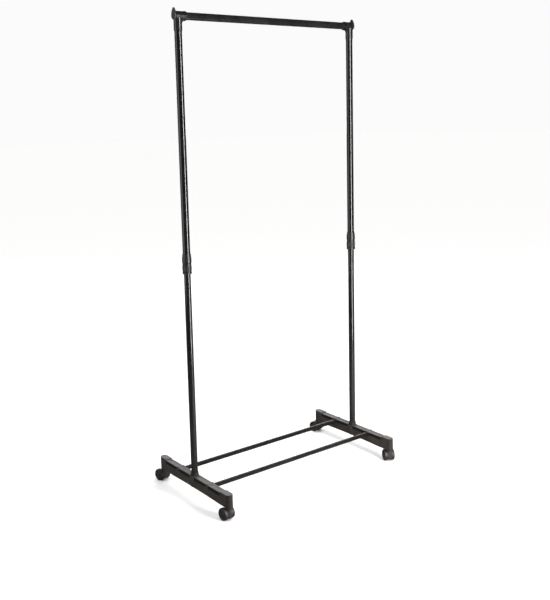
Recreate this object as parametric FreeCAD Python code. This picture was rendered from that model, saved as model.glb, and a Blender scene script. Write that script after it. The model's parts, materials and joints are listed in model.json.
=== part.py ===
import FreeCAD, Part
import math
import os

# A rolling clothes rack: two telescopic uprights stand on two moulded feet, a hanging rail joins
# their tops, two thin rails join the feet, and four twin-wheel casters carry it.
# Origin on the floor under the middle of the rack, +X along the rail, -Y to the front, +Z up.
# All sizes are in millimetres.

# Layout
upright_spacing = 735.0     # between the upright axes
rail_height = 1625.0        # floor to the hanging rail's axis, at full height
lock_base = 791.0           # floor to the underside of the twist locks, at full height
bottom_rail_offset = 93.0   # upright axis to each bottom rail's axis
bottom_rail_drop = 11.5     # foot top to the bottom rails' axis

# Tubes
rail_od = 25.0
rail_wall = 0.8
upper_tube_od = 25.0
upper_tube_wall = 0.7
lower_tube_wall = 0.8
lower_tube_overlap = 78.0   # left inside the upper tube, above the lock, at full height
bottom_rail_od = 16.0
bottom_rail_wall = 0.8

# Clearances
slip_gap = 0.05             # radial, between pieces pushed together
running_gap = 0.1           # radial, between a shaft and what turns or slides on it
moving_gap = 0.3            # between other faces that move past each other
end_gap = 0.3               # between a tube's end and the stop that it is pushed against

# Feet
foot_length = 438.0
foot_width = 26.0
foot_height = 41.5          # at the ends
foot_clearance = 4.5        # wheels to the feet
foot_wall = 3.4
foot_roof = 3.6
foot_arch = 2.5             # rise of the underside between the ends
foot_round = 1.4            # rounding of the top edges
end_pad_length = 45.0       # round end over each caster
end_pad_rise = 3.0
stem_boss_drop = 4.0        # foot underside to the end of the boss around each stem
stem_boss_step = 0.5        # boss set in from the foot's sides
stem_boss_taper = 1.0
centre_wall = 2.85          # bulge around the upright
collar_height = 11.5        # short cone that the upright rises from
collar_base_wall = 2.65
collar_wall = 1.3           # at the collar's top
upright_floor = 3.0         # under the upright's lower end
upright_seat_drop = 30.0    # foot top to the upright's lower end
saddle_wall = 5.5           # hump over each bottom rail
socket_depth = 20.0
socket_wall = 2.6
pocket_depth = 2.2
pocket_height = 9.0
pocket_lip = 1.9            # foot top to the top of the side pockets
pocket_land = 1.0           # between a bottom rail and the nearest pocket
pocket_margin = 3.0
channel_depth = 1.1
channel_width = 12.0
channel_margin = 6.0
rib_thickness = 2.0
rib_rise = 7.0              # foot underside to the ribs' lower edges

# Foot screws
screw_radius = 3.0
screw_hole_gap = 0.3
screw_length = 24.0
screw_head_radius = 5.6
screw_head_height = 4.0
screw_key_size = 4.0
washer_radius = 7.5
washer_thickness = 1.2
insert_length = 26.0

# Guide bushes
bush_head = 14.0
bush_stem = 18.0
bush_bore = 14.0            # diameter of the hole that lightens it

# Twist locks
lock_wall = 3.45            # around the upper tube
lock_shoulder = 18.0        # cone above the collet's band
lock_band = 12.0
lock_grip_length = 36.4
lock_lip = 1.2              # collet's wall at the top of its cone
collet_seat = 8.0           # underside of the band to the upper tube's end
collet_wall = 1.6
collet_slot = 1.6
collet_slots = 4
snap_rise = 0.7
snap_width = 2.0
snap_height = 7.0           # above the collet's lower end
grip_floor = 8.6            # under the collet
grip_waist = 1.0
grip_flange = 8.0
grip_neck = 3.0
grip_ribs = 22
grip_groove_radius = 1.1
grip_top = 9.4              # plain stretch above the ribs

# Tees and end stops
tee_wall = 2.3              # around the rail
tee_reach = 27.0            # upright axis to the inner end of the sleeve
tee_rim = 0.7
tee_rim_width = 5.0
tee_socket_wall = 1.3       # around the upright
tee_socket_drop = 46.6      # rail axis to the mouth of the socket
tee_web = 3.0               # between the rail and the upright's upper end
tee_gusset = 9.0
tee_gusset_thickness = 5.0
stop_offset = 11.5          # upright axis to the end stop's inner face
stop_thickness = 5.0
stop_lip = 0.5              # beyond the rail
stop_rise = 25.5            # rail axis to the end stop's tip
stop_tip_radius = 4.5
stop_round = 1.6
stop_plug = 20.0            # length of the plug inside the rail
stop_plug_wall = 3.0

# Casters
wheel_radius = 21.0
wheel_width = 12.5
wheel_round = 3.0
wheel_dish = 1.6
wheel_rim = 3.4
wheel_hub_radius = 6.8
wheel_hollow = 6.5
wheel_outer_wall = 3.0
caster_trail = 14.5         # swivel axis to the axle
caster_web = 14.4           # width of the housing between its wheels
caster_web_radius = 17.5
caster_lift = 9.0           # floor to the housing's underside
nose_radius = 9.6
nose_chamfer = 2.5
cap_radius = 11.0
caster_headroom = 1.0       # housing to the boss above it
axle_radius = 3.0
stem_radius = 4.0
stem_wall = 4.0             # of the foot, around the stem
stem_drop = 1.0             # the stem's lower end, above the axle's height
stem_ceiling = 6.0          # foot top to the stem's upper end
ring_height = 6.0
ring_depth = 0.8
ring_split = 1.4
ring_drop = 8.0             # stem's upper end to the ring's upper edge
flute_radius = 0.8
flute_pitch = 24.0          # degrees
flute_count = 5

caster_turns = {            # degrees that each caster is turned about its stem
    "front_left": 2.0,
    "front_right": -28.0,
    "rear_left": 8.0,
    "rear_right": 10.0,
}

# Sizes worked out from the ones above
half_spacing = upright_spacing / 2
half_width = foot_width / 2
foot_base = 2 * wheel_radius + foot_clearance
foot_top = foot_base + foot_height
upper_bore = upper_tube_od / 2 - upper_tube_wall
lower_radius = upper_bore - moving_gap
lower_bore = lower_radius - lower_tube_wall
upright_seat_radius = lower_radius + slip_gap
centre_radius = upright_seat_radius + centre_wall
lock_radius = upper_tube_od / 2 + slip_gap + lock_wall
bottom_rail_height = foot_top - bottom_rail_drop
bottom_rail_radius = bottom_rail_od / 2
saddle_radius = bottom_rail_radius + saddle_wall
caster_offset = foot_length / 2 - half_width
end_pad_start = foot_length / 2 - end_pad_length
boss_base = foot_base - stem_boss_drop
seat_height = foot_top - upright_seat_drop
cavity_top = foot_top - foot_roof
band_base = lock_base + lock_grip_length + 2 * moving_gap
band_top = band_base + lock_band
lock_top = band_top + lock_shoulder
upper_tube_base = band_base + collet_seat
upper_tube_top = rail_height - rail_od / 2 - tee_web
lower_tube_top = lock_top + lower_tube_overlap
stop_radius = rail_od / 2 + stop_lip
housing_top = boss_base - caster_headroom
stem_foot = wheel_radius + stem_drop
wheel_gap = caster_web / 2 + moving_gap

UP = FreeCAD.Vector(0, 0, 1)


def point(x, y, z):
    return FreeCAD.Vector(x, y, z)


def cylinder(radius, bottom, top, x=0.0, y=0.0):
    return Part.makeCylinder(radius, top - bottom, point(x, y, bottom))


def cylinder_along_x(radius, start, end, y, z):
    return Part.makeCylinder(radius, end - start, point(start, y, z), point(1, 0, 0))


def block(x, y, z):
    """A box from three (low, high) pairs."""
    return Part.makeBox(x[1] - x[0], y[1] - y[0], z[1] - z[0], point(x[0], y[0], z[0]))


def pipe(radius, bore, bottom, top):
    return cylinder(radius, bottom, top).cut(cylinder(bore, bottom, top))


def turned(outline):
    """A solid turned about the Z axis from (radius, height) points."""
    points = [point(radius, 0, height) for radius, height in outline]
    face = Part.Face(Part.makePolygon(points + points[:1]))
    return face.revolve(point(0, 0, 0), UP, 360)


def rounded(shape, radius, chosen):
    """The shape with a fillet on each edge whose ends all pass the test."""
    edges = [e for e in shape.Edges if all(chosen(v.Point) for v in e.Vertexes)]
    return shape.makeFillet(radius, edges)


def joined(shapes):
    return shapes[0].multiFuse(shapes[1:]).removeSplitter()


def mirrored_in_y(shape):
    return [shape, shape.mirror(point(0, 0, 0), point(0, 1, 0))]


def save(node, shape):
    shape.exportStep(os.path.join("parts", node + ".step"))


def place(shape, turn, x, y=0.0):
    placed = shape.copy()
    placed.rotate(point(0, 0, 0), UP, turn)
    placed.translate(point(x, y, 0))
    return placed


# Foot. In this local frame the upright's axis is x = 0 and +X faces the other foot.

def end_pad():
    """The round, slightly taller end that the caster's stem goes into."""
    radius = half_width
    top = foot_top + end_pad_rise
    corners = [point(radius, caster_offset, foot_base), point(radius, end_pad_start, foot_base),
               point(-radius, end_pad_start, foot_base), point(-radius, caster_offset, foot_base)]
    tip = point(0, caster_offset + radius, foot_base)
    edges = [Part.makeLine(a, b) for a, b in zip(corners, corners[1:])]
    edges.append(Part.Arc(corners[3], tip, corners[0]).toShape())
    pad = Part.Face(Part.Wire(edges)).extrude(point(0, 0, top - foot_base))
    return rounded(pad, foot_round, lambda p: p.z > top - 0.01)


def stem_boss():
    """Tapered skirt under an end pad, around the caster's stem."""
    top = half_width - stem_boss_step
    return Part.makeCone(top - stem_boss_taper, top, stem_boss_drop,
                         point(0, caster_offset, boss_base))


def foot_outside():
    beam = block((-half_width, half_width), (-caster_offset, caster_offset), (foot_base, foot_top))
    beam = rounded(beam, foot_round, lambda p: p.z > foot_top - 0.01)
    centre = cylinder(centre_radius, foot_base, foot_top)
    collar = Part.makeCone(upright_seat_radius + collar_base_wall, upright_seat_radius + collar_wall,
                           collar_height, point(0, 0, foot_top))
    saddle = cylinder_along_x(saddle_radius, -half_width, half_width, bottom_rail_offset,
                              bottom_rail_height)
    ends = mirrored_in_y(end_pad()) + mirrored_in_y(stem_boss())
    return joined([beam, centre, collar] + ends + mirrored_in_y(saddle))


def arch():
    """The shallow curved slice taken off the underside, between the end pads."""
    reach = centre_radius + 1
    start = point(-reach, -end_pad_start, foot_base)
    end = point(-reach, end_pad_start, foot_base)
    crown = point(-reach, 0, foot_base + foot_arch)
    wire = Part.Wire([Part.Arc(start, crown, end).toShape(), Part.makeLine(end, start)])
    return Part.Face(wire).extrude(point(2 * reach, 0, 0))


def foot_hollow():
    inner = half_width - foot_wall
    middle = block((-inner, inner), (-caster_offset, caster_offset), (foot_base, cavity_top))
    end = cylinder(inner, boss_base, cavity_top, y=caster_offset)
    return joined([middle] + mirrored_in_y(end))


def foot_inside():
    """Columns, sockets and ribs that stand in the hollow."""
    reach = half_width - foot_wall / 2
    top = cavity_top + 1
    half_socket = bottom_rail_radius + socket_wall
    column = cylinder(centre_radius, foot_base + foot_arch, top)
    stem_column = cylinder(stem_radius + stem_wall, boss_base, top, y=caster_offset)
    socket = block((-reach, reach),
                   (bottom_rail_offset - half_socket, bottom_rail_offset + half_socket),
                   (bottom_rail_height - half_socket, top))
    pieces = [column] + mirrored_in_y(stem_column) + mirrored_in_y(socket)
    for middle in (bottom_rail_offset / 2, (bottom_rail_offset + caster_offset) / 2):
        rib = block((-reach, reach), (middle - rib_thickness / 2, middle + rib_thickness / 2),
                    (foot_base + rib_rise, top))
        pieces += mirrored_in_y(rib)
    return pieces


def side_pockets_and_channels():
    """Long shallow recesses along both sides and along the top."""
    land = bottom_rail_radius + pocket_land
    stretches = ((centre_radius, bottom_rail_offset - land),
                 (bottom_rail_offset + land, end_pad_start - pocket_margin))
    pocket_top = foot_top - pocket_lip
    cuts = []
    for start, end in stretches:
        for side in (-1, 1):
            near, far = sorted((side * (half_width - pocket_depth), side * (half_width + 1)))
            pocket = block((near, far), (start, end), (pocket_top - pocket_height, pocket_top))
            cuts += mirrored_in_y(pocket)
        channel = block((-channel_width / 2, channel_width / 2),
                        (start + channel_margin, end - channel_margin),
                        (foot_top - channel_depth, foot_top + 1))
        cuts += mirrored_in_y(channel)
    return cuts


def foot_bores():
    upright = cylinder(upright_seat_radius, seat_height, foot_top + collar_height + 1)
    screw = cylinder(screw_radius + screw_hole_gap, foot_base, seat_height)
    recess = cylinder(washer_radius + slip_gap * 10, foot_base, seat_height - upright_floor)
    rail = cylinder_along_x(bottom_rail_radius + slip_gap, half_width - socket_depth,
                            half_width + 1, bottom_rail_offset, bottom_rail_height)
    stem = cylinder(stem_radius + running_gap, boss_base, foot_top - stem_ceiling,
                    y=caster_offset)
    return [upright, screw, recess] + mirrored_in_y(rail) + mirrored_in_y(stem)


def foot():
    shell = foot_outside().cut(foot_hollow())
    body = joined([shell] + foot_inside())
    return body.cut([arch()] + side_pockets_and_channels() + foot_bores()).removeSplitter()


# Upright

def lower_tube():
    return pipe(lower_radius, lower_bore, seat_height, lower_tube_top)


def tube_insert():
    """Threaded plug in the lower end of the lower tube."""
    return pipe(lower_bore - slip_gap, screw_radius + slip_gap, seat_height,
                seat_height + insert_length)


def foot_washer():
    top = seat_height - upright_floor
    return pipe(washer_radius, screw_radius + screw_hole_gap, top - washer_thickness, top)


def foot_screw():
    seat = seat_height - upright_floor - washer_thickness
    shank = cylinder(screw_radius, seat - 1, seat + screw_length)
    head = cylinder(screw_head_radius, seat - screw_head_height, seat)
    head = rounded(head, screw_head_height / 4, lambda p: p.z < seat - screw_head_height + 0.01)
    key = Part.Face(Part.makePolygon([
        point(screw_key_size / math.sqrt(3) * math.cos(math.radians(60 * corner)),
              screw_key_size / math.sqrt(3) * math.sin(math.radians(60 * corner)),
              seat - screw_head_height) for corner in range(7)]))
    return joined([head, shank]).cut(key.extrude(point(0, 0, screw_head_height / 2)))


def guide_bush():
    """Plug on the lower tube's upper end, which slides in the upper tube."""
    head = upper_bore - running_gap
    stem = lower_bore - slip_gap
    bore = bush_bore / 2
    top = lower_tube_top + bush_head
    return turned([(bore, lower_tube_top - bush_stem), (stem, lower_tube_top - bush_stem),
                   (stem, lower_tube_top), (head, lower_tube_top), (head, top - 1),
                   (head - 1, top), (bore, top)])


def upper_tube():
    return pipe(upper_tube_od / 2, upper_bore, upper_tube_base, upper_tube_top)


def collet():
    """Fixed half of the twist lock: a coned band on the upper tube, with split fingers below."""
    grip = lower_radius + running_gap
    seat = upper_tube_od / 2 + slip_gap
    finger = grip + collet_wall
    low = lock_base + grip_floor
    snap = low + snap_height
    body = turned([(grip, low), (finger, low), (finger, snap), (finger + snap_rise, snap + 0.5),
                   (finger + snap_rise, snap + snap_width), (finger, snap + snap_width),
                   (finger, band_base), (lock_radius - 0.6, band_base),
                   (lock_radius, band_base + 1.5), (lock_radius, band_top),
                   (seat + lock_lip, lock_top), (seat, lock_top), (seat, upper_tube_base),
                   (grip, upper_tube_base)])
    slots = []
    for index in range(collet_slots // 2):
        slot = block((-finger * 2, finger * 2), (-collet_slot / 2, collet_slot / 2),
                     (low - 1, band_base - collet_wall))
        slots.append(place(slot, 360 / collet_slots * index, 0))
    return body.cut(slots)


def lock_sleeve():
    """Ribbed grip that turns on the collet and squeezes its fingers."""
    finger = lower_radius + running_gap + collet_wall
    bore = finger + moving_gap
    floor = lock_base + grip_floor - moving_gap
    snap = lock_base + grip_floor + snap_height
    top = lock_base + lock_grip_length
    waist = lock_radius - grip_waist
    flange_top = lock_base + grip_flange
    rib_base = flange_top + grip_neck
    rib_top = top - grip_top
    body = turned([(lower_radius + moving_gap, lock_base), (lock_radius - 1, lock_base),
                   (lock_radius, lock_base + 1.5), (lock_radius, flange_top - 1),
                   (waist, flange_top), (waist, rib_base - 1), (lock_radius, rib_base),
                   (lock_radius, rib_top), (waist, rib_top + 1), (waist, top - 1),
                   (waist - 0.5, top), (bore, top),
                   (bore, snap + snap_width + moving_gap),
                   (bore + snap_rise, snap + snap_width + moving_gap),
                   (bore + snap_rise, snap - moving_gap), (bore, snap - moving_gap),
                   (bore, floor), (lower_radius + moving_gap, floor)])
    grooves = []
    for index in range(grip_ribs):
        angle = math.radians(360 / grip_ribs * index)
        reach = lock_radius + grip_groove_radius / 2
        grooves.append(cylinder(grip_groove_radius, rib_base - 1, rib_top + 1,
                                reach * math.cos(angle), reach * math.sin(angle)))
    return body.cut(grooves)


# Hanging rail and its ends. In this local frame +X faces the other tee.

def top_rail():
    reach = half_spacing + stop_offset - end_gap
    outside = cylinder_along_x(rail_od / 2, -reach, reach, 0, rail_height)
    return outside.cut(cylinder_along_x(rail_od / 2 - rail_wall, -reach, reach, 0, rail_height))


def tee():
    sleeve_radius = rail_od / 2 + slip_gap + tee_wall
    socket_radius = upper_tube_od / 2 + slip_gap + tee_socket_wall
    mouth = rail_height - tee_socket_drop
    sleeve = cylinder_along_x(sleeve_radius, -stop_offset, tee_reach, 0, rail_height)
    rim = cylinder_along_x(sleeve_radius + tee_rim, tee_reach - tee_rim_width, tee_reach, 0,
                           rail_height)
    rim = rounded(rim, tee_rim / 2, lambda p: True)
    socket = cylinder(socket_radius, mouth, rail_height)
    corner = point(socket_radius - 1, -tee_gusset_thickness / 2, rail_height - sleeve_radius + 1)
    gusset = Part.Face(Part.makePolygon([
        corner, corner + point(tee_gusset, 0, 0), corner - point(0, 0, tee_gusset), corner]))
    gusset = gusset.extrude(point(0, tee_gusset_thickness, 0))
    body = joined([sleeve, rim, socket, gusset])
    rail_hole = cylinder_along_x(rail_od / 2 + slip_gap, -stop_offset - 1, tee_reach + 1, 0,
                                 rail_height)
    upright_hole = cylinder(upper_tube_od / 2 + slip_gap, mouth - 1, upper_tube_top + slip_gap)
    stop_seat = block((-socket_radius - 1, -stop_offset), (-socket_radius, socket_radius),
                      (rail_height - stop_radius - moving_gap, rail_height + 1))
    return body.cut([rail_hole, upright_hole, stop_seat])


def egg_face(x):
    """Outline of the end stop: a half circle below the rail's axis, drawn up to a rounded tip."""
    tip_centre = stop_rise - stop_tip_radius
    side = (tip_centre ** 2 + stop_radius ** 2 - stop_tip_radius ** 2)
    side /= 2 * (stop_radius - stop_tip_radius)
    sine = tip_centre / (side - stop_tip_radius)
    angle = math.asin(sine)
    meet_y = stop_tip_radius * math.cos(angle)
    meet_z = tip_centre + stop_tip_radius * sine
    half_y = stop_radius - side + side * math.cos(angle / 2)
    half_z = side * math.sin(angle / 2)

    def at(y, z):
        return point(x, y, rail_height + z)

    arcs = [(at(-stop_radius, 0), at(0, -stop_radius), at(stop_radius, 0)),
            (at(stop_radius, 0), at(half_y, half_z), at(meet_y, meet_z)),
            (at(meet_y, meet_z), at(0, stop_rise), at(-meet_y, meet_z)),
            (at(-meet_y, meet_z), at(-half_y, half_z), at(-stop_radius, 0))]
    return Part.Face(Part.Wire([Part.Arc(*arc).toShape() for arc in arcs]))


def end_stop():
    plate = egg_face(-stop_offset - stop_thickness).extrude(point(stop_thickness, 0, 0))
    plate = plate.makeFillet(stop_round, plate.Edges)
    plug = cylinder_along_x(rail_od / 2 - rail_wall - slip_gap, -stop_offset - 1,
                            stop_plug - stop_offset, 0, rail_height)
    hollow = cylinder_along_x(rail_od / 2 - rail_wall - stop_plug_wall, 1 - stop_offset,
                              stop_plug - stop_offset + 1, 0, rail_height)
    return joined([plate, plug]).cut(hollow)


def bottom_rail(y):
    reach = half_spacing - half_width + socket_depth - end_gap
    place_at = (-reach, reach, y, bottom_rail_height)
    bore = bottom_rail_radius - bottom_rail_wall
    return cylinder_along_x(bottom_rail_radius, *place_at).cut(cylinder_along_x(bore, *place_at))


# Caster. In this local frame the stem's axis is the Z axis, the axle runs along X,
# and the wheels trail towards +Y.

def wheel():
    """Right-hand wheel, hollow on its inner side and dished on its outer side."""
    face = wheel_gap
    outer = wheel_gap + wheel_width
    rim = wheel_radius - wheel_rim
    web = outer - wheel_outer_wall
    outline = [(axle_radius + running_gap, face), (wheel_hub_radius, face),
               (wheel_hub_radius, face + wheel_hollow), (rim, face + wheel_hollow), (rim, face),
               (wheel_radius - 1, face), (wheel_radius, face + 1)]
    steps = 5
    for step in range(steps + 1):
        angle = math.radians(90 * step / steps)
        outline.append((wheel_radius - wheel_round + wheel_round * math.cos(angle),
                        outer - wheel_round + wheel_round * math.sin(angle)))
    outline += [(rim, outer), (rim - wheel_dish, outer - wheel_dish),
                (wheel_hub_radius + wheel_dish, outer - wheel_dish), (wheel_hub_radius, outer),
                (0, outer), (0, web), (axle_radius + running_gap, web)]
    disc = turned(outline)
    disc.rotate(point(0, 0, 0), point(0, 1, 0), 90)
    disc.translate(point(0, caster_trail, wheel_radius))
    return disc


def axle():
    reach = wheel_gap + wheel_width - wheel_outer_wall - end_gap
    return cylinder_along_x(axle_radius, -reach, reach, caster_trail, wheel_radius)


def stem():
    top = foot_top - stem_ceiling
    ring_top = top - ring_drop
    groove = stem_radius - ring_depth
    return turned([(0, stem_foot), (stem_radius - 0.8, stem_foot), (stem_radius, stem_foot + 0.8),
                   (stem_radius, ring_top - ring_height - slip_gap),
                   (groove, ring_top - ring_height - slip_gap), (groove, ring_top + slip_gap),
                   (stem_radius, ring_top + slip_gap), (stem_radius, top - 1.5),
                   (stem_radius - 1.5, top), (0, top)])


def grip_ring():
    """Split spring ring that holds the stem in the foot."""
    top = foot_top - stem_ceiling - ring_drop
    ring = pipe(stem_radius + slip_gap, stem_radius - ring_depth + slip_gap, top - ring_height, top)
    return ring.cut(block((0, stem_radius + 1), (-ring_split / 2, ring_split / 2),
                          (top - ring_height - 1, top + 1)))


def caster_housing():
    half_web = caster_web / 2
    web = cylinder_along_x(caster_web_radius, -half_web, half_web, caster_trail, wheel_radius)
    nose = turned([(0, caster_lift), (nose_radius - nose_chamfer, caster_lift),
                   (nose_radius, caster_lift + nose_chamfer), (nose_radius, housing_top - 4),
                   (cap_radius, housing_top - 2.5), (cap_radius, housing_top - 0.6),
                   (cap_radius - 0.6, housing_top), (0, housing_top)])
    body = joined([web, nose])
    cuts = [block((-half_web - 1, half_web + 1), (-cap_radius, caster_trail + caster_web_radius + 1),
                  (0, caster_lift))]
    for side in (-1, 1):
        near, far = sorted((side * half_web, side * (cap_radius + 1)))
        cuts.append(cylinder_along_x(wheel_radius + running_gap * 10, near, far, caster_trail,
                                     wheel_radius))
    cuts.append(cylinder(stem_radius + running_gap, stem_foot - moving_gap, housing_top + 1))
    cuts.append(cylinder_along_x(axle_radius + slip_gap, -half_web - 1, half_web + 1, caster_trail,
                                 wheel_radius))
    for index in range(flute_count):
        angle = math.radians(-90 + flute_pitch * (index - (flute_count - 1) / 2))
        reach = nose_radius + flute_radius / 2
        cuts.append(cylinder(flute_radius, caster_lift + nose_chamfer + 1, housing_top - 5,
                             reach * math.cos(angle), reach * math.sin(angle)))
    return body.cut(cuts)


def build_casters():
    pieces = {"housing": caster_housing(), "stem": stem(), "grip_ring": grip_ring(),
              "axle": axle(), "right_wheel": wheel(),
              "left_wheel": wheel().mirror(point(0, 0, 0), point(1, 0, 0))}
    for corner, turn in caster_turns.items():
        end, side = corner.split("_")
        x = half_spacing if side == "right" else -half_spacing
        y = caster_offset if end == "rear" else -caster_offset
        for name, shape in pieces.items():
            save(corner + "_caster_" + name, place(shape, turn, x, y))


def build_sides():
    pieces = {"foot": foot(), "lower_tube": lower_tube(), "tube_insert": tube_insert(),
              "guide_bush": guide_bush(), "upper_tube": upper_tube(), "collet": collet(),
              "lock_sleeve": lock_sleeve(), "tee": tee(), "end_stop": end_stop()}
    for name, shape in pieces.items():
        save("left_" + name, place(shape, 0, -half_spacing))
        save("right_" + name, place(shape, 180, half_spacing))


def build_shared():
    save("top_rail", top_rail())
    save("front_bottom_rail", bottom_rail(-bottom_rail_offset))
    save("rear_bottom_rail", bottom_rail(bottom_rail_offset))
    for name, shape in (("foot_screws", foot_screw()), ("foot_washers", foot_washer())):
        pair = [place(shape, 0, -half_spacing), place(shape, 180, half_spacing)]
        save(name, Part.makeCompound(pair))


os.makedirs("parts", exist_ok=True)
build_sides()
build_shared()
build_casters()
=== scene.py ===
import json
import math

import bmesh
import bpy
from mathutils import Matrix, Vector


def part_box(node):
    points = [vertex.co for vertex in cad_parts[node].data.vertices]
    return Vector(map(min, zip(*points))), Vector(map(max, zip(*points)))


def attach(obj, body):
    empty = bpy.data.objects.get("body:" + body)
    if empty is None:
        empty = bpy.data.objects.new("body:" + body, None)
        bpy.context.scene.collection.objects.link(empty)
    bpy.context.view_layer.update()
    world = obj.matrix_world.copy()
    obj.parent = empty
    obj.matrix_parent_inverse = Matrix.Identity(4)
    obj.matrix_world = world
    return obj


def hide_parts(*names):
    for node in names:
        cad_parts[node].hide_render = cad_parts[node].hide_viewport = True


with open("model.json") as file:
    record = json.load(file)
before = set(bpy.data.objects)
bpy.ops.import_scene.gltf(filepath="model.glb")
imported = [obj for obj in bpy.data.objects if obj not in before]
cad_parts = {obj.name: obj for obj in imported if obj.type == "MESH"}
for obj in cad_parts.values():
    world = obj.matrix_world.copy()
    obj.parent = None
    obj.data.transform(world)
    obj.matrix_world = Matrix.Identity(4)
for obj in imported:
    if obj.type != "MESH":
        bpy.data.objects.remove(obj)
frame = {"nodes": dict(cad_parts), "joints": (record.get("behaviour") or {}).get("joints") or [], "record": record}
nodes = frame["nodes"]
joints = {joint["name"]: joint for joint in frame["joints"]}
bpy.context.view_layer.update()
print("frame loaded:", len(nodes), "nodes")

slotOf = {part["node"]: part["material_slot"] for part in frame["record"]["subparts"]}
bodyOf = {node: body for body, members in frame["record"]["behaviour"]["bodies"].items()
          for node in members}


def linear(hexColour):  # sRGB hex to the linear colour that nodes take
    parts = [int(hexColour[i:i + 2], 16) / 255 for i in (1, 3, 5)]
    return [c / 12.92 if c <= 0.04045 else ((c + 0.055) / 1.055) ** 2.4 for c in parts] + [1]


def perMetre(millimetres):
    return 1000 / millimetres  # how many of that size make a metre, as noise scales count


def addNode(tree, kind, settings=None, links=None):
    node = tree.nodes.new(kind)
    for name, value in (settings or {}).items():
        if isinstance(name, int) or name in node.inputs:
            node.inputs[name].default_value = value
        else:
            setattr(node, name, value)
    for name, source in (links or {}).items():
        tree.links.new(source, node.inputs[name])
    return node


# finishes: each starts with uneven colour, uneven gloss and a surface grain, then gets its films
patchNoise, patchSpread = {"Detail": 4}, {"From Min": 0.35, "From Max": 0.65}
finerNoise, glossSpread = {"Detail": 5, "Roughness": 0.6}, {"From Min": 0.3, "From Max": 0.7}
polymerIor = 1.5  # powder coat and these plastics all lie close to it, and it is zinc's default


def startFinish(name, look):
    material = bpy.data.materials.new(name)
    material.use_nodes = True
    tree = material.node_tree
    shader = tree.nodes["Principled BSDF"]
    shader.inputs["IOR"].default_value = polymerIor
    shader.inputs["Metallic"].default_value = look.get("metallic", 0)
    place = addNode(tree, "ShaderNodeTexCoord").outputs["Object"]
    patches = addNode(tree, "ShaderNodeTexNoise",
                      {"Scale": perMetre(look["patchSize"]), **patchNoise}, {"Vector": place})
    share = addNode(tree, "ShaderNodeMapRange", patchSpread, {"Value": patches.outputs["Fac"]})
    colour = addNode(tree, "ShaderNodeMix",
                     {"data_type": "RGBA", 6: linear(look["dark"]), 7: linear(look["light"])},
                     {0: share.outputs["Result"]})
    gloss = addNode(tree, "ShaderNodeTexNoise",
                    {"Scale": perMetre(look["glossSize"]), **finerNoise}, {"Vector": place})
    smoothest, roughest = look["rough"]
    rough = addNode(tree, "ShaderNodeMapRange",
                    {**glossSpread, "To Min": smoothest, "To Max": roughest},
                    {"Value": gloss.outputs["Fac"]})
    finish = {"material": material, "tree": tree, "shader": shader, "place": place,
              "colour": colour.outputs[2], "rough": rough.outputs["Result"], "normal": None}
    for size, depth in look["grain"]:
        addGrain(finish, size, depth)
    return finish


def addGrain(finish, size, depth):  # both in mm
    tree = finish["tree"]
    relief = addNode(tree, "ShaderNodeTexNoise", {"Scale": perMetre(size), "Detail": 2},
                     {"Vector": finish["place"]})
    links = {"Height": relief.outputs["Fac"]}
    if finish["normal"]:
        links["Normal"] = finish["normal"]
    bump = addNode(tree, "ShaderNodeBump", {"Strength": 1, "Distance": depth / 1000}, links)
    finish["normal"] = bump.outputs["Normal"]


def sealFinish(finish):
    tree, shader = finish["tree"], finish["shader"]
    tree.links.new(finish["colour"], shader.inputs["Base Color"])
    tree.links.new(finish["rough"], shader.inputs["Roughness"])
    tree.links.new(finish["normal"], shader.inputs["Normal"])
    return finish["material"]


# films: dust, grime and rubbing. Their patches are in mm, and places in metres or as a share of
# facing one way; each pair of limits says where the film starts and where it is full
def layFilm(finish, film, share):
    tree = finish["tree"]
    tint = addNode(tree, "ShaderNodeMix", {"data_type": "RGBA", 7: linear(film["colour"])},
                   {0: share, 6: finish["colour"]})
    gloss = addNode(tree, "ShaderNodeMix", {3: film["rough"]}, {0: share, 2: finish["rough"]})
    finish["colour"], finish["rough"] = tint.outputs[2], gloss.outputs[0]


def layPatches(finish, film, where=None):
    tree, place = finish["tree"], finish["place"]
    if "stretch" in film:
        place = addNode(tree, "ShaderNodeVectorMath",
                        {"operation": "MULTIPLY", 1: film["stretch"]}, {0: place}).outputs["Vector"]
    blotches = addNode(tree, "ShaderNodeTexNoise",
                       {"Scale": perMetre(film["size"]), **finerNoise}, {"Vector": place})
    none, full = film["noise"]
    share = addNode(tree, "ShaderNodeMapRange",
                    {"From Min": none, "From Max": full, "To Max": film["most"]},
                    {"Value": blotches.outputs["Fac"]}).outputs["Result"]
    if where is not None:
        share = addNode(tree, "ShaderNodeMath", {"operation": "MULTIPLY"},
                        {0: share, 1: where}).outputs["Value"]
    layFilm(finish, film, share)


def facing(finish, axis, limits):  # how squarely a face looks along that axis
    normal = addNode(finish["tree"], "ShaderNodeTexCoord").outputs["Normal"]
    parts = addNode(finish["tree"], "ShaderNodeSeparateXYZ", None, {0: normal})
    return zone(finish, [(parts.outputs[axis], *limits)])


def reading(finish, axis, centre=None):  # a height, or the distance from a plane on both sides
    tree = finish["tree"]
    value = addNode(tree, "ShaderNodeSeparateXYZ", None, {0: finish["place"]}).outputs[axis]
    if centre is None:
        return value
    value = addNode(tree, "ShaderNodeMath", {"operation": "ABSOLUTE"}, {0: value}).outputs[0]
    value = addNode(tree, "ShaderNodeMath", {"operation": "SUBTRACT", 1: centre},
                    {0: value}).outputs[0]
    return addNode(tree, "ShaderNodeMath", {"operation": "ABSOLUTE"}, {0: value}).outputs[0]


def fromUpright(finish):  # distance from the nearer upright's axis
    low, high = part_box("right_lower_tube")
    spot = addNode(finish["tree"], "ShaderNodeCombineXYZ", None,
                   {0: reading(finish, 0, (low.x + high.x) / 2), 1: reading(finish, 1)})
    return addNode(finish["tree"], "ShaderNodeVectorMath", {"operation": "LENGTH"},
                   {0: spot.outputs[0]}).outputs["Value"]


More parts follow.
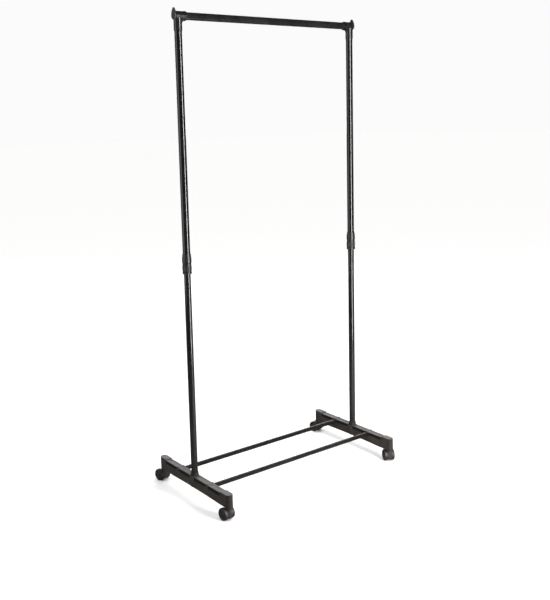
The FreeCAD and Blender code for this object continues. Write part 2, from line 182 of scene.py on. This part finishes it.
def zone(finish, limits, most=1):  # limits: a reading, where the zone starts, where it is full
    tree, share = finish["tree"], None
    for value, none, full in limits:
        part = addNode(tree, "ShaderNodeMapRange",
                       {"From Min": none, "From Max": full, "To Max": most if share is None else 1},
                       {"Value": value}).outputs["Result"]
        if share is not None:
            part = addNode(tree, "ShaderNodeMath", {"operation": "MULTIPLY"},
                           {0: share, 1: part}).outputs["Value"]
        share = part
    return share


# camera and studio
cameraLook = {
    "place": (-1.8256, -2.3953, 1.3107),
    "yaw": 38.02, "pitch": 8.43, "roll": -1.16,  # degrees: round from the front, down, and tilt
    "lens": 51.18,
    "shift": (-0.0167, -0.1),
}


def addCamera(look):
    yaw, pitch, roll = (math.radians(look[k]) for k in ("yaw", "pitch", "roll"))
    forward = Vector((math.sin(yaw) * math.cos(pitch), math.cos(yaw) * math.cos(pitch),
                      -math.sin(pitch)))
    level = Vector((math.cos(yaw), -math.sin(yaw), 0))
    upright = level.cross(forward)
    right = math.cos(roll) * level + math.sin(roll) * upright
    up = -math.sin(roll) * level + math.cos(roll) * upright
    turn = Matrix((right, up, -forward)).transposed().to_4x4()
    data = bpy.data.cameras.new("rackCamera")
    data.lens = look["lens"]
    data.shift_x, data.shift_y = look["shift"]
    camera = bpy.data.objects.new("rackCamera", data)
    bpy.context.scene.collection.objects.link(camera)
    camera.matrix_world = Matrix.Translation(look["place"]) @ turn
    bpy.context.scene.camera = camera


studioLook = {
    "floor": "#f6f6f5", "floorHalf": 40.0,
    "mirrored": "#454544",                     # the floor as the rack's gloss sees it
    "glow": {"place": (0.25, -0.9, 0.0), "fade": (1.1, 0.2), "colour": "#b8b8b6"},
    "backdrop": "#fbfbfb",                     # what shows past the floor
    "room": "#c4c7cc", "roomStrength": 0.05,   # dark walls, so the black stays black
    "sky": {"lean": 12, "round": 38, "spread": 110, "strength": 3.3},
    "lamps": {                                 # place, aim, size, watts
        "frontStrip": ((0.2, -1.6, 1.02), (0.2, 0.0, 1.02), (0.16, 2.0), 62),
        "sideCard": ((-2.9, 0.9, 1.3), (0.0, 0.0, 1.1), (2.6, 2.4), 34),
        "backBox": ((2.7, 3.5, 1.75), (0.0, 0.0, 0.3), (3.0, 1.3), 55),
    },
}


def addFloor(look):
    half = look["floorHalf"]
    mesh = bpy.data.meshes.new("studioFloor")
    mesh.from_pydata([(-half, -half, 0), (half, -half, 0), (half, half, 0), (-half, half, 0)],
                     [], [(0, 1, 2, 3)])
    floor = bpy.data.objects.new("studioFloor", mesh)
    bpy.context.scene.collection.objects.link(floor)
    material = bpy.data.materials.new("matteWhitePaper")  # seamless paper roll, no gloss
    material.use_nodes = True
    tree = material.node_tree
    shader = tree.nodes["Principled BSDF"]
    shader.inputs["Roughness"].default_value = 1
    shader.inputs["Specular IOR Level"].default_value = 0
    glow = look["glow"]  # the strip's pool of light, as the rack's gloss sees it
    place = addNode(tree, "ShaderNodeTexCoord").outputs["Object"]
    away = addNode(tree, "ShaderNodeVectorMath", {"operation": "DISTANCE", 1: glow["place"]},
                   {0: place})
    none, full = glow["fade"]
    pool = addNode(tree, "ShaderNodeMapRange",
                   {"interpolation_type": "SMOOTHSTEP", "From Min": none, "From Max": full},
                   {"Value": away.outputs["Value"]})
    seenFloor = addNode(tree, "ShaderNodeMix",
                        {"data_type": "RGBA", 6: linear(look["mirrored"]),
                         7: linear(glow["colour"])}, {0: pool.outputs["Result"]})
    mirrored = addNode(tree, "ShaderNodeLightPath").outputs["Is Glossy Ray"]
    paper = addNode(tree, "ShaderNodeMix",
                    {"data_type": "RGBA", 6: linear(look["floor"])},
                    {0: mirrored, 7: seenFloor.outputs[2]})
    tree.links.new(paper.outputs[2], shader.inputs["Base Color"])
    mesh.materials.append(material)


def addRoom(look):
    world = bpy.data.worlds.new("studio")
    world.use_nodes = True
    tree = world.node_tree
    room = tree.nodes["Background"]
    room.inputs["Color"].default_value = linear(look["room"])
    room.inputs["Strength"].default_value = look["roomStrength"]
    backdrop = addNode(tree, "ShaderNodeBackground", {"Color": linear(look["backdrop"])})
    seen = addNode(tree, "ShaderNodeLightPath").outputs["Is Camera Ray"]
    both = addNode(tree, "ShaderNodeMixShader", None,
                   {0: seen, 1: room.outputs[0], 2: backdrop.outputs[0]})
    tree.links.new(both.outputs[0], tree.nodes["World Output"].inputs["Surface"])
    bpy.context.scene.world = world


def addLamps(look):
    sky = look["sky"]
    data = bpy.data.lights.new("softSky", "SUN")
    data.energy, data.angle = sky["strength"], math.radians(sky["spread"])
    lamp = bpy.data.objects.new("softSky", data)
    lamp.rotation_euler = (math.radians(-sky["lean"]), 0, math.radians(-sky["round"]))
    lamp.visible_glossy = False  # evens out the paper without greying the gloss
    bpy.context.scene.collection.objects.link(lamp)
    for name, (place, aim, size, watts) in look["lamps"].items():
        data = bpy.data.lights.new(name, "AREA")
        data.shape = "RECTANGLE"
        data.size, data.size_y = size
        data.energy = watts
        lamp = bpy.data.objects.new(name, data)
        lamp.location = place
        lamp.rotation_euler = (Vector(aim) - Vector(place)).to_track_quat("-Z", "Y").to_euler()
        lamp.visible_camera = False
        bpy.context.scene.collection.objects.link(lamp)


addCamera(cameraLook)
addFloor(studioLook)
addRoom(studioLook)
addLamps(studioLook)
bpy.context.scene.view_settings.view_transform = "Standard"
print("camera and studio ready")


# turned pieces: a closed outline of (radius, height) corners, rounded and swept round the axis
sameSpot = 1e-6
creaseAngle = math.radians(35)
roundingSteps = 3
roomShare = 0.4  # of the shorter side, so that two roundings never meet


def roundedProfile(corners, radius):
    points = []
    for index in range(len(corners)):
        before, here, after = (Vector(corners[i % len(corners)]) for i in
                               (index - 1, index, index + 1))
        if here.x < sameSpot:  # on the axis
            points.append(tuple(here))
            continue
        room = min((before - here).length, (after - here).length)
        reach = min(radius, room * roomShare)
        start = here + (before - here).normalized() * reach
        end = here + (after - here).normalized() * reach
        for step in range(roundingSteps + 1):
            t = step / roundingSteps
            points.append(tuple(start.lerp(here, t).lerp(here.lerp(end, t), t)))
    return points


def latheMesh(name, profile, around):
    work = bmesh.new()
    rings = []
    for turn in range(around):
        angle = 2 * math.pi * turn / around
        rings.append([work.verts.new((r * math.cos(angle), r * math.sin(angle), a))
                      for r, a in profile])
    for index, ring in enumerate(rings):
        following = rings[(index + 1) % around]
        for step in range(len(profile)):
            other = (step + 1) % len(profile)
            work.faces.new((ring[step], following[step], following[other], ring[other]))
    bmesh.ops.remove_doubles(work, verts=work.verts, dist=sameSpot)
    bmesh.ops.dissolve_degenerate(work, edges=work.edges, dist=sameSpot)
    bmesh.ops.recalc_face_normals(work, faces=work.faces)
    mesh = bpy.data.meshes.new(name)
    work.to_mesh(mesh)
    work.free()
    mesh.shade_smooth()
    mesh.set_sharp_from_angle(angle=creaseAngle)
    reach = mesh.attributes.new("axisDistance", "FLOAT", "POINT")  # for rings and treads
    for index, vertex in enumerate(mesh.vertices):
        reach.data[index].value = vertex.co.xy.length
    return mesh


def addPiece(name, mesh, matrix, node, material):
    mesh.materials.append(material)
    piece = bpy.data.objects.new(name, mesh)
    bpy.context.scene.collection.objects.link(piece)
    piece.matrix_world = matrix
    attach(piece, bodyOf[node])
    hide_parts(node)


# mild steel tube, black polyester powder coat: deep black, semi-gloss, faint orange peel
coatLook = {
    "dark": "#0c0b0b", "light": "#141313", "patchSize": 60,
    "rough": (0.1, 0.15), "glossSize": 35,
    "grain": ((2.4, 0.004), (0.7, 0.001)),  # orange peel, then the powder's own grain
}
slideLook = {
    **coatLook,
    "streaks": {"colour": "#3b3a38", "rough": 0.34, "size": 1.6, "noise": (0.5, 0.75), "most": 0.18,
                "stretch": (1, 1, 0.02)},
    # lighter towards the bottom end
    "paleLowDown": {"colour": "#8d8982", "rough": 0.34, "most": 0.03, "heights": (0.0, -0.38)},
}
railLook = {
    **coatLook, "dark": "#171616", "light": "#201f1f", "rough": (0.05, 0.09),
    "rings": {"colour": "#3b3a38", "rough": 0.1, "size": 3.5, "noise": (0.54, 0.72), "most": 0.3,
              "stretch": (0, 0, 1), "up": (0.1, 0.8)},
}
lowRailLook = {
    **coatLook, "dark": "#151414", "light": "#1e1d1c", "rough": (0.05, 0.09),
    "dust": {"colour": "#8d8982", "rough": 0.1, "size": 9, "noise": (0.3, 0.75), "most": 0.16,
             "up": (0.6, 0.98)},
}


def powderCoat(name, look):
    finish = startFinish(name, look)
    if "rings" in look:  # hanger hooks polish rings round the top of the rail
        layPatches(finish, look["rings"], facing(finish, 0, look["rings"]["up"]))
    if "streaks" in look:  # the lock's fingers leave fine lengthwise lines
        layPatches(finish, look["streaks"])
    if "paleLowDown" in look:  # lighter from the tube's middle down
        paleLowDown = look["paleLowDown"]
        layFilm(finish, paleLowDown, zone(finish, [(reading(finish, 2), *paleLowDown["heights"])],
                                      paleLowDown["most"]))
    if "dust" in look:  # a thin film along the tops
        layPatches(finish, look["dust"], facing(finish, 0, look["dust"]["up"]))
    return sealFinish(finish)


tubeLook = {
    "around": 96, "lip": 0.0003, "hold": 0.002,  # rounding of the ends, and the loops behind it
    "wall": {"upper": 0.0007, "lower": 0.0008, "rail": 0.0008},
}


def addTube(node, wall, material, flat):
    low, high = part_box(node)
    middle = (low + high) / 2
    size = high - low
    length, radius = (size.x, size.z / 2) if flat else (size.z, size.x / 2)
    half, bore = length / 2, radius - wall
    hold = half - tubeLook["hold"]  # these loops keep the long walls' shading straight
    profile = roundedProfile([(radius, -half), (radius, -hold), (radius, hold), (radius, half),
                              (bore, half), (bore, hold), (bore, -hold), (bore, -half)],
                             tubeLook["lip"])
    turn = Matrix()
    if flat:  # local X points up, so dust and rub marks know the top
        turn = Matrix(((0, 0, 1), (0, -1, 0), (1, 0, 0))).to_4x4()
    mesh = latheMesh(node + "_coated", profile, tubeLook["around"])
    addPiece(node + "_coated", mesh, Matrix.Translation(middle) @ turn, node, material)


uprightCoat = powderCoat("powderCoatedSteelUpper", coatLook)
slideCoat = powderCoat("powderCoatedSteelLower", slideLook)
for side in ("left", "right"):
    addTube(side + "_upper_tube", tubeLook["wall"]["upper"], uprightCoat, False)
    addTube(side + "_lower_tube", tubeLook["wall"]["lower"], slideCoat, False)
addTube("top_rail", tubeLook["wall"]["rail"],
        powderCoat("powderCoatedSteelRail", railLook), True)
lowCoat = powderCoat("powderCoatedSteelLowRail", lowRailLook)
for end in ("front", "rear"):
    addTube(end + "_bottom_rail", tubeLook["wall"]["rail"], lowCoat, True)
print("tubes made")


# moulded nylon: low sheen, turned rings on the face, and a scuffed, dusty tread
wheelLook = {
    "dark": "#1c1716", "light": "#28201f", "patchSize": 12,
    "rough": (0.34, 0.5), "glossSize": 6, "grain": ((1.1, 0.02),),
    "around": 96, "corner": 0.0005, "shoulder": 0.003, "inside": 0.00003,  # a hair under the CAD
    "rim": 0.0034, "dish": 0.0016, "hub": 0.0068, "hollow": 0.0065, "bore": 0.0031, "web": 0.003,
    "rings": {"pitch": 1.4, "depth": 0.00002, "strength": 0.6},  # tool marks, coarser than real
    "treadDust": {"colour": "#2c2826", "rough": 0.8, "size": 4, "noise": (0.3, 0.65), "most": 0.55,
                  "inside": (0.0015, 0.0002)},  # from the tread inwards
}


def wheelNylon(look):
    finish = startFinish("mouldedNylonWheel", look)
    tree, rings, dust = finish["tree"], look["rings"], look["treadDust"]
    reach = addNode(tree, "ShaderNodeAttribute", {"attribute_name": "axisDistance"}).outputs["Fac"]
    turns = addNode(tree, "ShaderNodeMath",
                    {"operation": "MULTIPLY", 1: 2 * math.pi * perMetre(rings["pitch"])}, {0: reach})
    waves = addNode(tree, "ShaderNodeMath", {"operation": "SINE"}, {0: turns.outputs[0]})
    turned = addNode(tree, "ShaderNodeBump",
                     {"Strength": rings["strength"], "Distance": rings["depth"]},
                     {"Height": waves.outputs[0], "Normal": finish["normal"]})
    finish["normal"] = turned.outputs["Normal"]
    low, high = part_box("front_left_caster_left_wheel")
    start, full = ((high.z - low.z) / 2 - depth for depth in dust["inside"])
    layPatches(finish, dust, zone(finish, [(reach, start, full)]))
    return sealFinish(finish)


def addWheel(node, joint, look, material):
    axis, hinge = Vector(joint["axis"]), Vector(joint["pos_m"])
    if node.endswith("left_wheel"):
        axis = -axis  # local Z points outwards
    reach = [(vertex.co - hinge).dot(axis) for vertex in nodes[node].data.vertices]
    width, middle = max(reach) - min(reach), hinge + axis * (max(reach) + min(reach)) / 2
    low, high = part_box(node)
    radius = (high.z - low.z) / 2 - look["inside"]
    rim, web = radius - look["rim"], width - look["web"]
    dish, hub, shoulder = width - look["dish"], look["hub"], look["shoulder"]
    arc = [(radius - shoulder * (1 - math.cos(math.radians(angle))),
            width - shoulder * (1 - math.sin(math.radians(angle)))) for angle in range(0, 91, 15)]
    corners = [(look["bore"], 0), (hub, 0), (hub, look["hollow"]), (rim, look["hollow"]),
               (rim, 0), (radius, 0), *arc, (rim, width), (rim - look["dish"], dish),
               (hub + look["dish"], dish), (hub, width), (0, width), (0, web), (look["bore"], web)]
    profile = [(r, a - width / 2) for r, a in roundedProfile(corners, look["corner"])]
    mesh = latheMesh(node + "_turned", profile, look["around"])
    mesh.transform(axis.to_track_quat("Z", "Y").to_matrix().to_4x4())
    addPiece(node + "_turned", mesh, Matrix.Translation(middle), node, material)


nylon = wheelNylon(wheelLook)
for corner in ("front_left", "front_right", "rear_left", "rear_right"):
    for side in ("left", "right"):
        addWheel(f"{corner}_caster_{side}_wheel", joints[f"{corner}_{side}_wheel_roll"],
                 wheelLook, nylon)
print("wheels made")


# polypropylene moulded in a spark-eroded tool: dull, pebbled, dusty on top
footLook = {
    "dark": "#27231e", "light": "#362f29", "patchSize": 45,
    "rough": (0.42, 0.58), "glossSize": 14,
    "grain": ((1.3, 0.05), (0.6, 0.02)),  # pebble drawn about twice its real size so that it shows
    # painted shade: both ends of the foot darker towards the tip
    "noseShade": {"colour": "#100e0c", "rough": 0.5, "most": 0.75, "fromEnd": (0.019, 0.007)},
    # edges lighter: partly wear, partly a painted highlight
    "edgeWearAndHighlight": {"colour": "#4f4b47", "rough": 0.4, "size": 10, "noise": (0.35, 0.65), "most": 0.5,
             "edge": 0.0009, "alike": (0.995, 0.93)},
    "dust": {"colour": "#a4a1a5", "rough": 0.62, "size": 7, "noise": (0.2, 0.6), "most": 0.18,
             "up": (0.6, 0.95)},
    # painted shade round the socket where the tube goes in
    "socket": {"colour": "#0b0a0a", "rough": 0.6, "most": 0.9, "out": (0.03, 0.021),
               "up": (0.0865, 0.09)},
    # painted shade inside the side pockets
    "pocket": {"colour": "#0b0a0a", "rough": 0.7, "skin": 0.0123, "fromEnd": 0.046, "top": 0.0862,
               "fade": 0.0004},
    # painted shadow a little way below each pocket's lower lip
    "shadowUnderPockets": {"colour": "#0b0a0a", "rough": 0.6, "most": 0.9, "up": (0.0747, 0.0771),
              "land": 0.009},
}


def footPolypropylene(look):
    finish = startFinish("sparkTexturedPolypropylene", look)
    low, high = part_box("right_foot")
    along, up = reading(finish, 1, 0), reading(finish, 2)
    noseShade, dust, socket = look["noseShade"], look["dust"], look["socket"]
    start, full = (high.y - distance for distance in noseShade["fromEnd"])
    # painted shade on the foot's ends
    layFilm(finish, noseShade, zone(finish, [(along, start, full)], noseShade["most"]))
    wearAndHighlightEdges(finish, look["edgeWearAndHighlight"])
    layPatches(finish, dust, facing(finish, 2, dust["up"]))
    layFilm(finish, socket,  # painted shade round where the tube goes in
            zone(finish, [(fromUpright(finish), *socket["out"]), (up, *socket["up"])],
                 socket["most"]))
    pocket, shadowUnderPockets, fade = look["pocket"], look["shadowUnderPockets"], look["pocket"]["fade"]
    reach, top, skin = high.y - pocket["fromEnd"], pocket["top"], pocket["skin"]
    across = reading(finish, 0, (low.x + high.x) / 2)
    limits = [(along, reach + fade, reach), (up, top + fade, top)]
    # painted shade: the pockets' insides near-black
    layFilm(finish, pocket, zone(finish, [(across, skin + fade, skin), *limits]))
    centre, land = (high.x - low.x) / 2, shadowUnderPockets["land"]  # no pocket at the upright or over a rail
    railLow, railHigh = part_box("rear_bottom_rail")
    fromRail = reading(finish, 1, (railLow.y + railHigh.y) / 2)
    limits += [(along, centre, centre + fade), (fromRail, land, land + fade)]
    layFilm(finish, shadowUnderPockets,  # with a painted shadow a little way below each pocket
            zone(finish, [(up, *shadowUnderPockets["up"]), *limits], shadowUnderPockets["most"]))
    return sealFinish(finish)


def wearAndHighlightEdges(finish, edgeWearAndHighlight):  # worn edges, partly a painted edge highlight: lighter where a rounded normal strays from the face's own
    tree = finish["tree"]
    soft = addNode(tree, "ShaderNodeBevel", {"samples": 4, "Radius": edgeWearAndHighlight["edge"]})
    plain = addNode(tree, "ShaderNodeNewGeometry").outputs["Normal"]
    alike = addNode(tree, "ShaderNodeVectorMath", {"operation": "DOT_PRODUCT"},
                    {0: soft.outputs["Normal"], 1: plain}).outputs["Value"]
    layPatches(finish, edgeWearAndHighlight, zone(finish, [(alike, *edgeWearAndHighlight["alike"])]))


# ABS, satin moulded: smooth, evenly black, a little handling haze
fittingLook = {
    "dark": "#151414", "light": "#1d1c1c", "patchSize": 25,
    "rough": (0.19, 0.28), "glossSize": 12, "grain": ((0.9, 0.008),),
    "haze": {"colour": "#3f3d3c", "rough": 0.38, "size": 5, "noise": (0.58, 0.75), "most": 0.25},
}


def fittingAbs(look):
    finish = startFinish("satinMouldedAbs", look)
    layPatches(finish, look["haze"])
    return sealFinish(finish)


# glass-filled nylon, moulded: dull black, polished by fingers on the rib crests
lockLook = {
    "dark": "#111010", "light": "#1a1918", "patchSize": 14,
    "rough": (0.3, 0.44), "glossSize": 7, "grain": ((0.8, 0.02),),
    "polished": {"colour": "#201f1e", "rough": 0.26, "most": 0.8, "crest": 0.0005},
}


def lockNylon(look):
    finish = startFinish("glassFilledNylonLock", look)
    polished = look["polished"]
    low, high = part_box("right_lock_sleeve")
    radius = (high.x - low.x) / 2
    crests = zone(finish, [(fromUpright(finish), radius - polished["crest"], radius)],
                  polished["most"])
    layFilm(finish, polished, crests)
    return sealFinish(finish)


# grey nylon, moulded: mid grey, dry, darker low down towards the floor
housingLook = {
    "dark": "#292624", "light": "#3a3633", "patchSize": 10,
    "rough": (0.42, 0.56), "glossSize": 5, "grain": ((0.9, 0.02),),
    # darker low down, towards the floor
    "darkerLow": {"colour": "#1e1b19", "rough": 0.75, "size": 5, "noise": (0.3, 0.7), "most": 0.7,
             "up": (0.03, 0.006)},
}


def housingNylon(look):
    finish = startFinish("greyMouldedNylon", look)
    layPatches(finish, look["darkerLow"], zone(finish, [(reading(finish, 2), *look["darkerLow"]["up"])]))
    return sealFinish(finish)


# polyethylene, moulded: waxy dark grey, hardly ever seen
bushLook = {
    "dark": "#262626", "light": "#303030", "patchSize": 20,
    "rough": (0.4, 0.55), "glossSize": 8, "grain": ((1.0, 0.01),),
}

# polypropylene end stops, moulded: greyer and duller than the tees beside them
stopLook = {
    "dark": "#2b2a29", "light": "#343332", "patchSize": 15,
    "rough": (0.4, 0.52), "glossSize": 8, "grain": ((0.9, 0.012),),
}

# zinc-plated steel, barrel plated: pale silver with a soft, cloudy shine
zincLook = {
    "dark": "#8f9091", "light": "#b9bbbc", "patchSize": 4, "metallic": 1,
    "rough": (0.22, 0.42), "glossSize": 3, "grain": ((0.6, 0.006),),
    "dull": {"colour": "#77756f", "rough": 0.6, "size": 6, "noise": (0.5, 0.75), "most": 0.5},
}


def zincSteel(look):
    finish = startFinish("barrelPlatedZincSteel", look)
    layPatches(finish, look["dull"])
    return sealFinish(finish)


finishes = {
    "tube_enamel": uprightCoat,
    "foot_plastic": footPolypropylene(footLook),
    "fitting_plastic": fittingAbs(fittingLook),
    "lock_plastic": lockNylon(lockLook),
    "inner_plastic": sealFinish(startFinish("mouldedPolyethylene", bushLook)),
    "caster_grey": housingNylon(housingLook),
    "wheel_plastic": nylon,
    "zinc_steel": zincSteel(zincLook),
}
for node, slot in slotOf.items():
    nodes[node].data.materials.clear()
    nodes[node].data.materials.append(finishes[slot])
stopPlastic = sealFinish(startFinish("satinMouldedPolypropylene", stopLook))
for side in ("left", "right"):
    nodes[side + "_end_stop"].data.materials[0] = stopPlastic
print("finishes given to", len(slotOf), "nodes")
